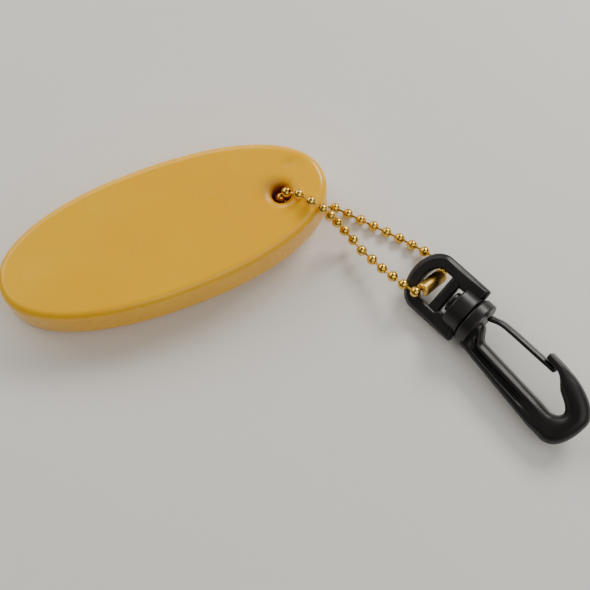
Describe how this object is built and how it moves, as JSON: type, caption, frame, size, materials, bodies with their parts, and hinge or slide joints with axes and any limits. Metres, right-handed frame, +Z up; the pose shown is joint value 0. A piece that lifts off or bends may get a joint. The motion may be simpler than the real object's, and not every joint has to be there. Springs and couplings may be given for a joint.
{
  "type": "floating keychain",
  "caption": "Oval foam float tied by a closed ball chain to a plastic swivel snap hook, lying as set down; it keeps dropped keys afloat.",
  "frame": {"origin": "on the surface the keychain lies on, under the middle of the whole keychain's box", "axes": "+X along the float's long axis towards its holed end, +Y across the float away from the hook, +Z up"},
  "size_m": [0.1098, 0.0892, 0.0165],
  "materials": {
    "vinyl": "glossy dipped skin",
    "brass": "bright plating",
    "acetal": "satin, as moulded"
  },
  "bodies": {
    "float": {"float_body": "vinyl"},
    "chain": {"bead_01": "brass", "bead_02": "brass", "bead_03": "brass", "bead_04": "brass", "bead_05": "brass", "bead_06": "brass", "bead_07": "brass", "bead_08": "brass", "bead_09": "brass", "bead_10": "brass", "bead_11": "brass", "bead_12": "brass", "bead_13": "brass", "bead_14": "brass", "bead_15": "brass", "bead_16": "brass", "bead_17": "brass", "bead_18": "brass", "bead_19": "brass", "bead_20": "brass", "bead_21": "brass", "bead_22": "brass", "bead_23": "brass", "bead_24": "brass", "bead_25": "brass", "bead_26": "brass", "bead_27": "brass", "bead_28": "brass", "bead_29": "brass", "bead_30": "brass", "bead_31": "brass", "bead_32": "brass", "chain_coupling": "brass"},
    "eye": {"swivel_eye": "acetal"},
    "snap_hook": {"hook": "acetal"},
    "gate_leaf": {"gate": "acetal"}
  },
  "joints": [
    {"name": "chain_swing", "type": "hinge", "parent": "float", "child": "chain", "pos_m": [0.01016, 0.0272, 0.00261], "axis": [0, 0, 1], "range_deg": [-12, 12]},
    {"name": "eye_swing", "type": "hinge", "parent": "chain", "child": "eye", "pos_m": [0.03442, -0.0016, 0.00498], "axis": [-0.4447, -0.1546, 0.8822], "range_deg": [-6, 6]},
    {"name": "hook_swivel", "type": "hinge", "parent": "eye", "child": "snap_hook", "pos_m": [0.03911, -0.0124, 0.00545], "axis": [0.3984, -0.9163, 0.0403], "continuous": true},
    {"name": "gate_flex", "type": "hinge", "parent": "snap_hook", "child": "gate_leaf", "pos_m": [0.04291, -0.0146, 0.00698], "axis": [0.4447, 0.1546, -0.8822], "range_deg": [0, 18], "stiffness_Nm_per_rad": 0.1}
  ]
}
